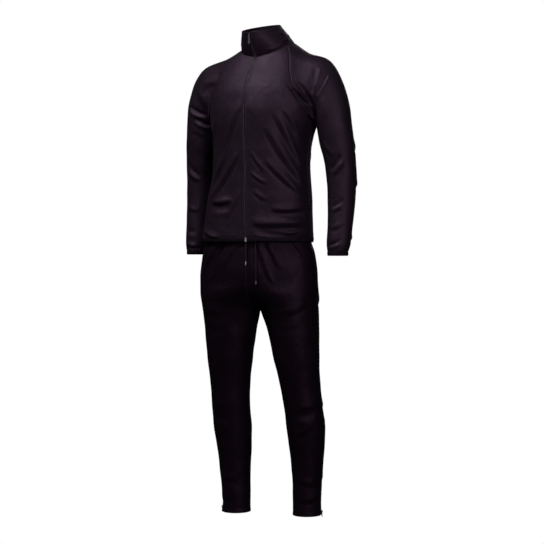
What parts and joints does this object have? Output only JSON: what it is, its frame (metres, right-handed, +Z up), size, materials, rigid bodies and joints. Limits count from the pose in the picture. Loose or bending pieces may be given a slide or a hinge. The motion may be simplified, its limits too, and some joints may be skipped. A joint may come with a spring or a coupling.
{
  "type": "tracksuit",
  "caption": "Plain black knitted tracksuit standing as worn: zipped raglan jacket with a stand collar, and slim drawstring trousers with ankle zips.",
  "frame": {"origin": "level with the sides of the neck on the middle line, where the wearer's shoulders carry the jacket", "axes": "+Z up, the front faces -Y, +X to the wearer's left"},
  "size_m": [0.5898, 0.2588, 1.534],
  "materials": {
    "cloth": "smooth knit, soft sheen",
    "trouser_cloth": "smooth knit, soft sheen",
    "trim": "woven tape and binding",
    "metal": "satin"
  },
  "bodies": {
    "suit": {"jacket_front_left": "cloth", "jacket_front_right": "cloth", "jacket_back": "cloth", "sleeve_left": "cloth", "sleeve_right": "cloth", "collar": "cloth", "hem_band": "trim", "cuff_left": "trim", "cuff_right": "trim", "front_zip": "trim", "ankle_zip_left": "trim", "ankle_zip_right": "trim", "drawstring_left": "trim", "drawstring_right": "trim", "trouser_front_left": "trouser_cloth", "trouser_front_right": "trouser_cloth", "trouser_back_left": "trouser_cloth", "trouser_back_right": "trouser_cloth", "waistband": "trouser_cloth", "front_slider": "metal", "zip_box": "metal", "cord_tip_left": "metal", "cord_tip_right": "metal", "ankle_left_slider": "metal", "ankle_right_slider": "metal"},
    "front_tab": {"front_pull": "metal"},
    "ankle_tab_left": {"ankle_left_pull": "metal"},
    "ankle_tab_right": {"ankle_right_pull": "metal"}
  },
  "joints": [
    {"name": "front_tab_swing", "type": "hinge", "parent": "suit", "child": "front_tab", "pos_m": [0.00116, -0.08605, 0.02149], "axis": [-1, 0, 0], "range_deg": [-15, 115]},
    {"name": "ankle_tab_left_swing", "type": "hinge", "parent": "suit", "child": "ankle_tab_left", "pos_m": [0.16758, 0.08051, -1.441], "axis": [0.1736, -0.9848, 0], "range_deg": [-4, 132]},
    {"name": "ankle_tab_right_swing", "type": "hinge", "parent": "suit", "child": "ankle_tab_right", "pos_m": [-0.15554, 0.02354, -1.441], "axis": [-0.1736, 0.9848, 0], "range_deg": [-4, 132]}
  ]
}
